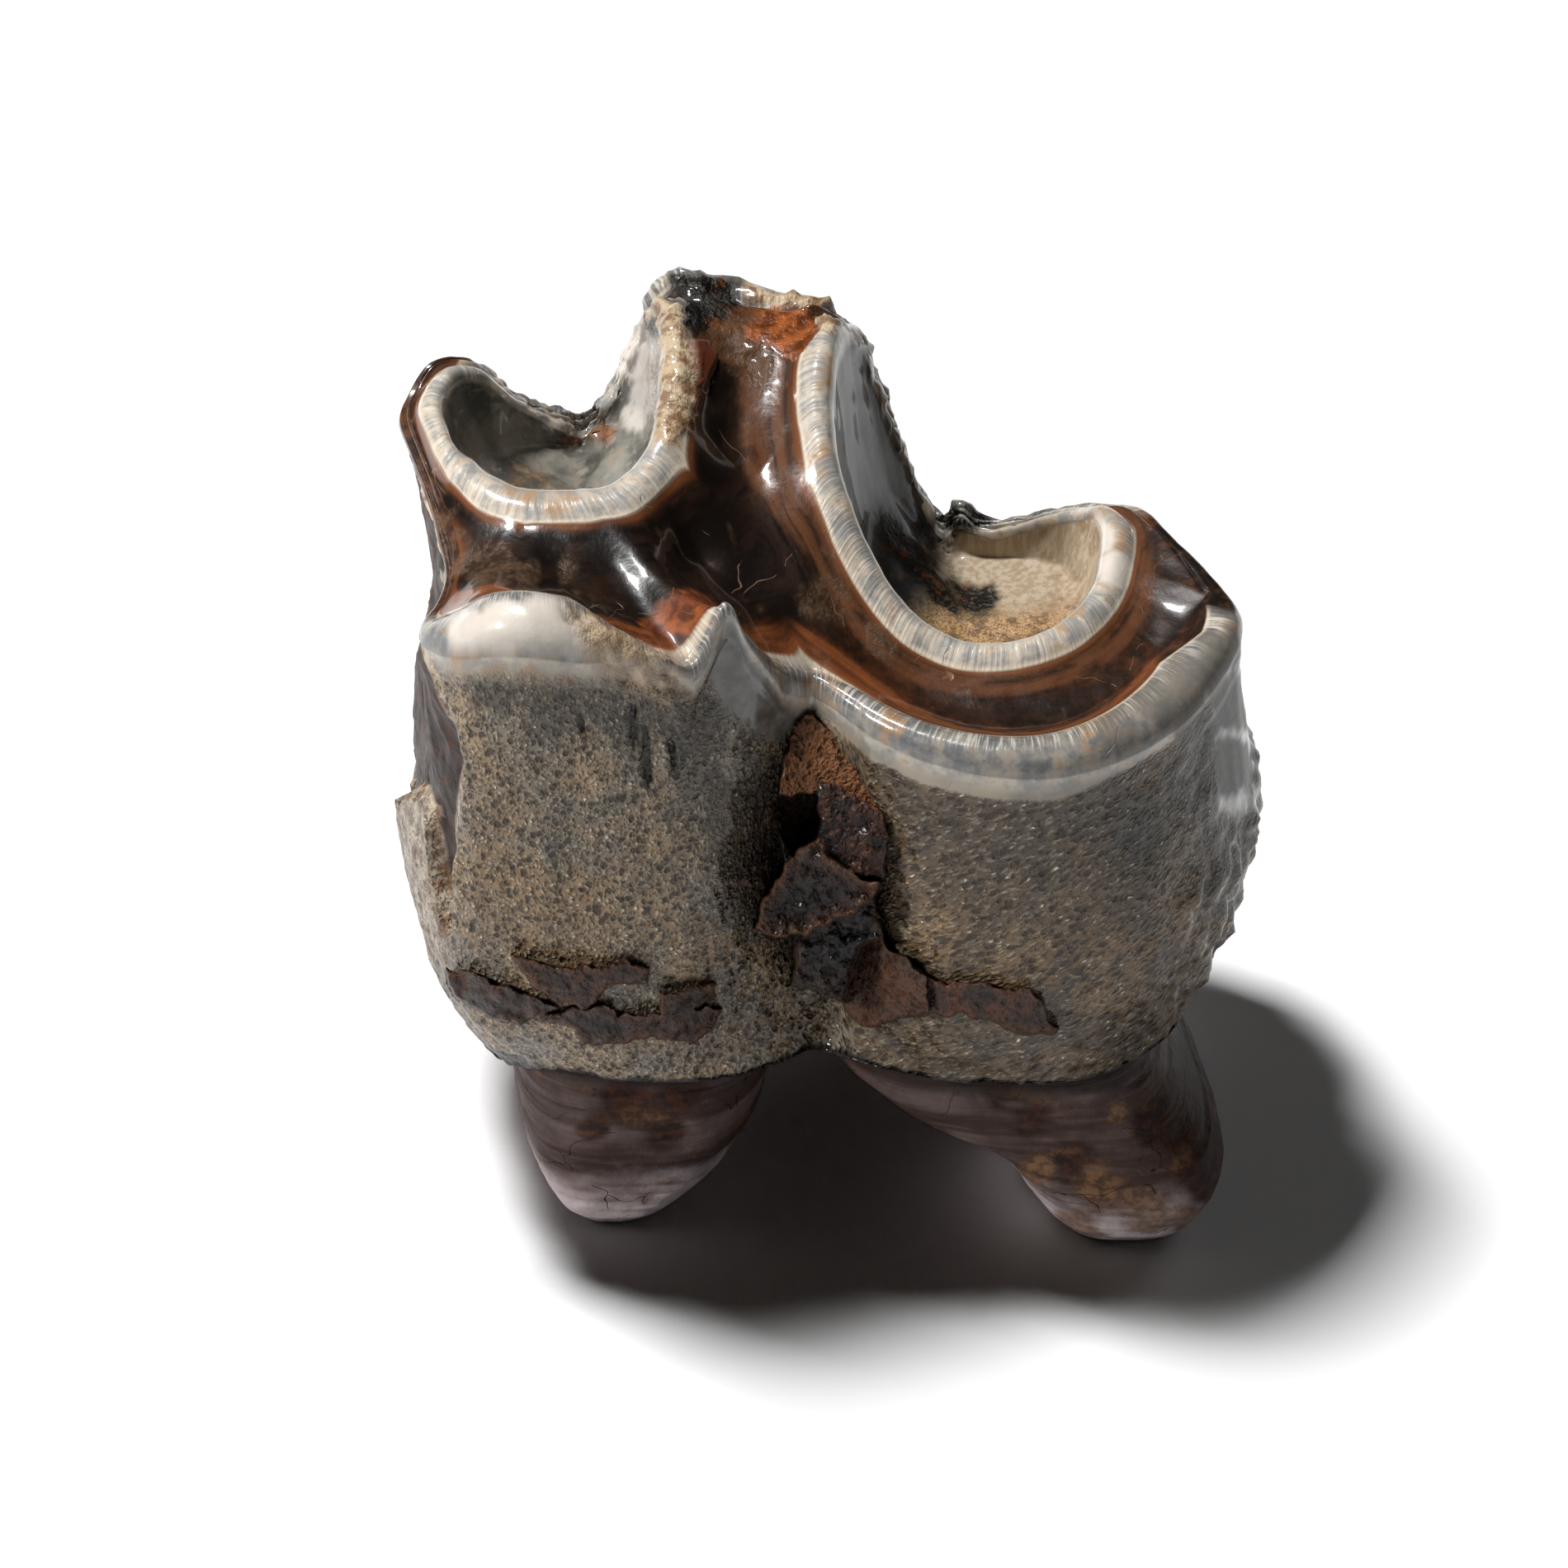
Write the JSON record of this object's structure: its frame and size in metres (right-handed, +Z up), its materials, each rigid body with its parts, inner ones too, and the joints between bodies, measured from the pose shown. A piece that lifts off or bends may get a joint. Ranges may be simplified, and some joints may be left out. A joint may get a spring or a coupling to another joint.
{
  "type": "fossil woolly rhino tooth",
  "caption": "Worn fossil cheek tooth with a deep side groove, open basins in its chewing face, broken enamel and spread roots that it stands on.",
  "frame": {"origin": "on the floor, below the middle of the tooth's box", "axes": "+X along the jaw, from the broken end to the worn dark end; -Y faces the cheek, the side with the groove; +Z up, the chewing side"},
  "size_m": [0.0516, 0.034, 0.053],
  "materials": {
    "fossil_tooth": "satin"
  },
  "bodies": {
    "root": {"tooth": "fossil_tooth"}
  },
  "joints": []
}
